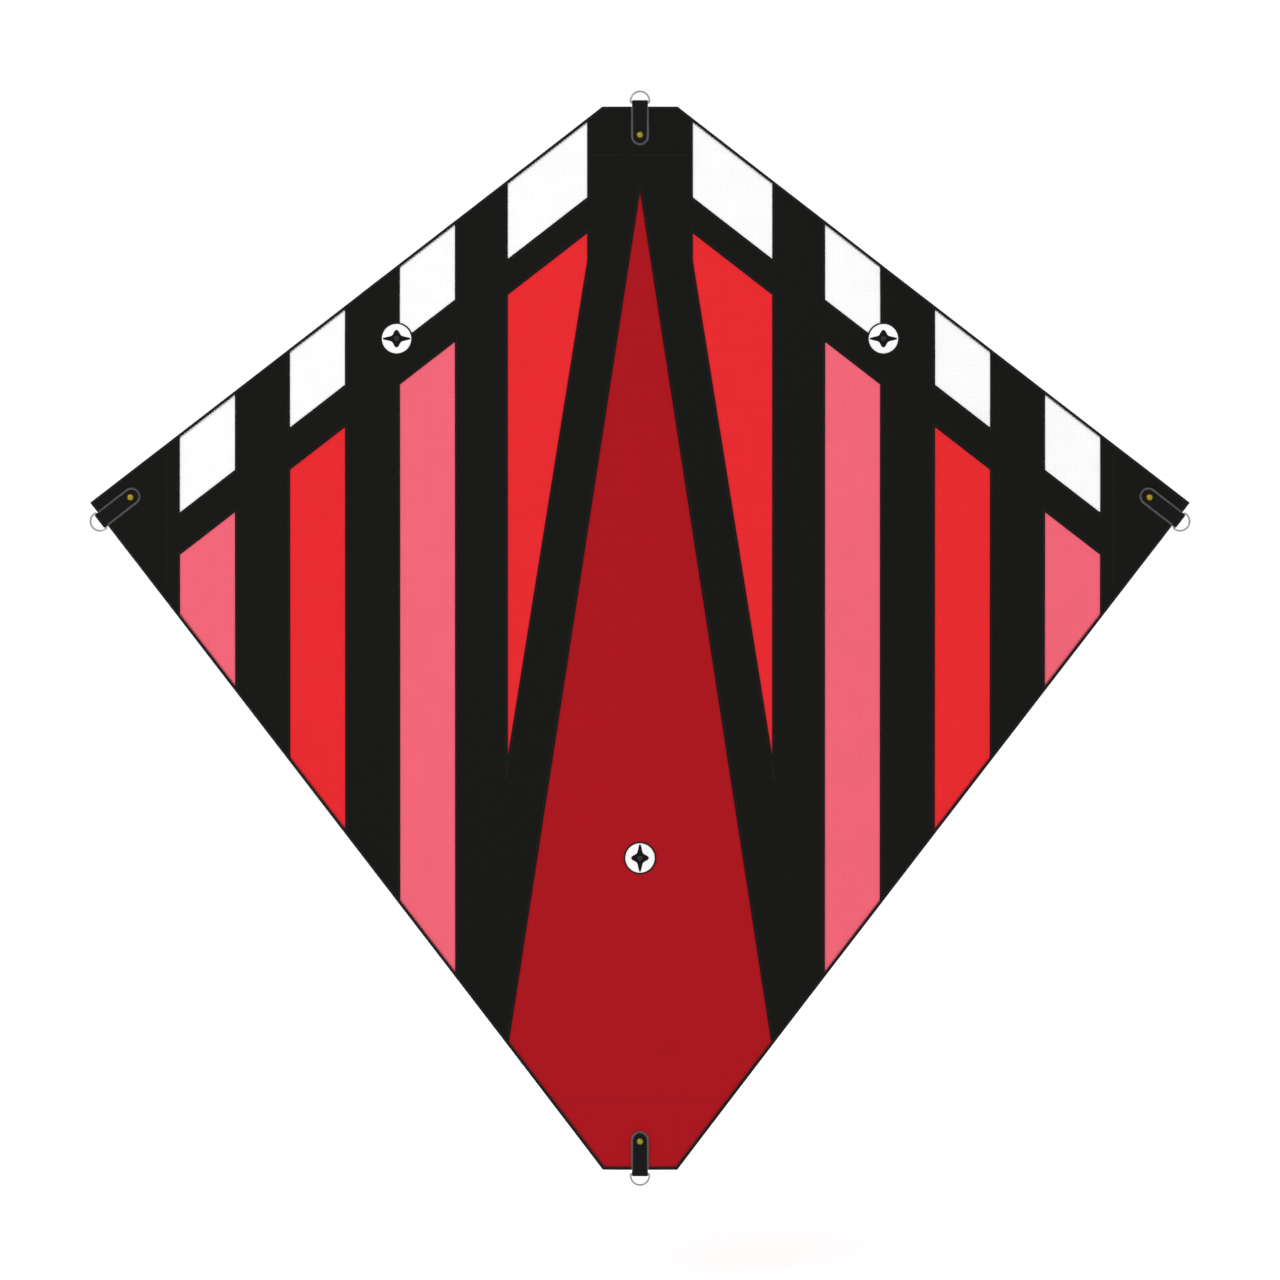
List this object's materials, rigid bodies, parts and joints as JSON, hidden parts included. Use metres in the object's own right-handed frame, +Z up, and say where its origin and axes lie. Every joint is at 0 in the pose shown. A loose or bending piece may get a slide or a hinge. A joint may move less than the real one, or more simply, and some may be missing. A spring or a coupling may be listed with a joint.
{
  "type": "diamond kite",
  "caption": "Flat diamond kite with striped ripstop sail, straight spine, bowed cross spar, webbing corner tabs with D-rings, and star-shaped bridle patches.",
  "frame": {"origin": "centre of the cross fitting's flat back face, level with the crossing of the two spars", "axes": "+Z up the spine to the nose, +Y out of the back of the kite, +X to the right as seen from the sail's front"},
  "size_m": [1.0408, 0.0256, 1.0356],
  "materials": {
    "black_ripstop": "ripstop weave, slight sheen",
    "white_ripstop": "ripstop weave, slight sheen",
    "red_ripstop": "ripstop weave, slight sheen",
    "pink_ripstop": "ripstop weave, slight sheen",
    "crimson_ripstop": "ripstop weave, slight sheen",
    "webbing": "flat woven webbing, matte",
    "bridle_cord": "braided cord, matte",
    "ring_steel": "nickel plated, polished",
    "brass_rivet": "polished",
    "glass_fibre_rod": "pultruded, satin gloss",
    "moulded_black": "moulded, fine texture",
    "ferrule_metal": "drawn tube, satin"
  },
  "bodies": {
    "kite": {"bow_ferrule": "ferrule_metal", "crimson_spear_panel": "crimson_ripstop", "cross_fitting": "moulded_black", "edge_hem_tape": "webbing", "ground_cloth": "black_ripstop", "left_bow_rod": "glass_fibre_rod", "left_pink_panel_2": "pink_ripstop", "left_pink_panel_4": "pink_ripstop", "left_red_panel_1": "red_ripstop", "left_red_panel_3": "red_ripstop", "left_upper_bridle_loop": "bridle_cord", "left_upper_bridle_patch": "white_ripstop", "left_white_panel_1": "white_ripstop", "left_white_panel_2": "white_ripstop", "left_white_panel_3": "white_ripstop", "left_white_panel_4": "white_ripstop", "left_wing_corner_patch": "black_ripstop", "left_wing_end_cap": "moulded_black", "left_wing_rivet": "brass_rivet", "left_wing_spar_pocket": "webbing", "left_wing_tab": "webbing", "lower_bridle_loop": "bridle_cord", "lower_bridle_patch": "white_ripstop", "lower_patch_backing": "black_ripstop", "lower_spine_rod": "glass_fibre_rod", "nose_corner_patch": "black_ripstop", "nose_end_cap": "moulded_black", "nose_rivet": "brass_rivet", "nose_spar_pocket": "webbing", "nose_tab": "webbing", "right_bow_rod": "glass_fibre_rod", "right_pink_panel_2": "pink_ripstop", "right_pink_panel_4": "pink_ripstop", "right_red_panel_1": "red_ripstop", "right_red_panel_3": "red_ripstop", "right_upper_bridle_loop": "bridle_cord", "right_upper_bridle_patch": "white_ripstop", "right_white_panel_1": "white_ripstop", "right_white_panel_2": "white_ripstop", "right_white_panel_3": "white_ripstop", "right_white_panel_4": "white_ripstop", "right_wing_corner_patch": "black_ripstop", "right_wing_end_cap": "moulded_black", "right_wing_rivet": "brass_rivet", "right_wing_spar_pocket": "webbing", "right_wing_tab": "webbing", "spine_ferrule": "ferrule_metal", "tail_corner_patch": "black_ripstop", "tail_end_cap": "moulded_black", "tail_rivet": "brass_rivet", "tail_spar_pocket": "webbing", "tail_tab": "webbing", "upper_spine_rod": "glass_fibre_rod"},
    "nose_ring": {"nose_d_ring": "ring_steel"},
    "tail_ring": {"tail_d_ring": "ring_steel"},
    "left_wing_ring": {"left_wing_d_ring": "ring_steel"},
    "right_wing_ring": {"right_wing_d_ring": "ring_steel"}
  },
  "joints": [
    {"name": "nose_ring_swing", "type": "hinge", "parent": "kite", "child": "nose_ring", "pos_m": [0, -0.01885, 0.17545], "axis": [-1, 0, 0], "range_deg": [-115, 100]},
    {"name": "tail_ring_swing", "type": "hinge", "parent": "kite", "child": "tail_ring", "pos_m": [0, -0.01885, -0.83675], "axis": [1, 0, 0], "range_deg": [-115, 100]},
    {"name": "left_wing_ring_swing", "type": "hinge", "parent": "kite", "child": "left_wing_ring", "pos_m": [-0.50912, -0.01885, -0.21902], "axis": [0.6118, 0, -0.791], "range_deg": [-115, 100]},
    {"name": "right_wing_ring_swing", "type": "hinge", "parent": "kite", "child": "right_wing_ring", "pos_m": [0.50912, -0.01885, -0.21902], "axis": [0.6118, 0, 0.791], "range_deg": [-115, 100]}
  ]
}
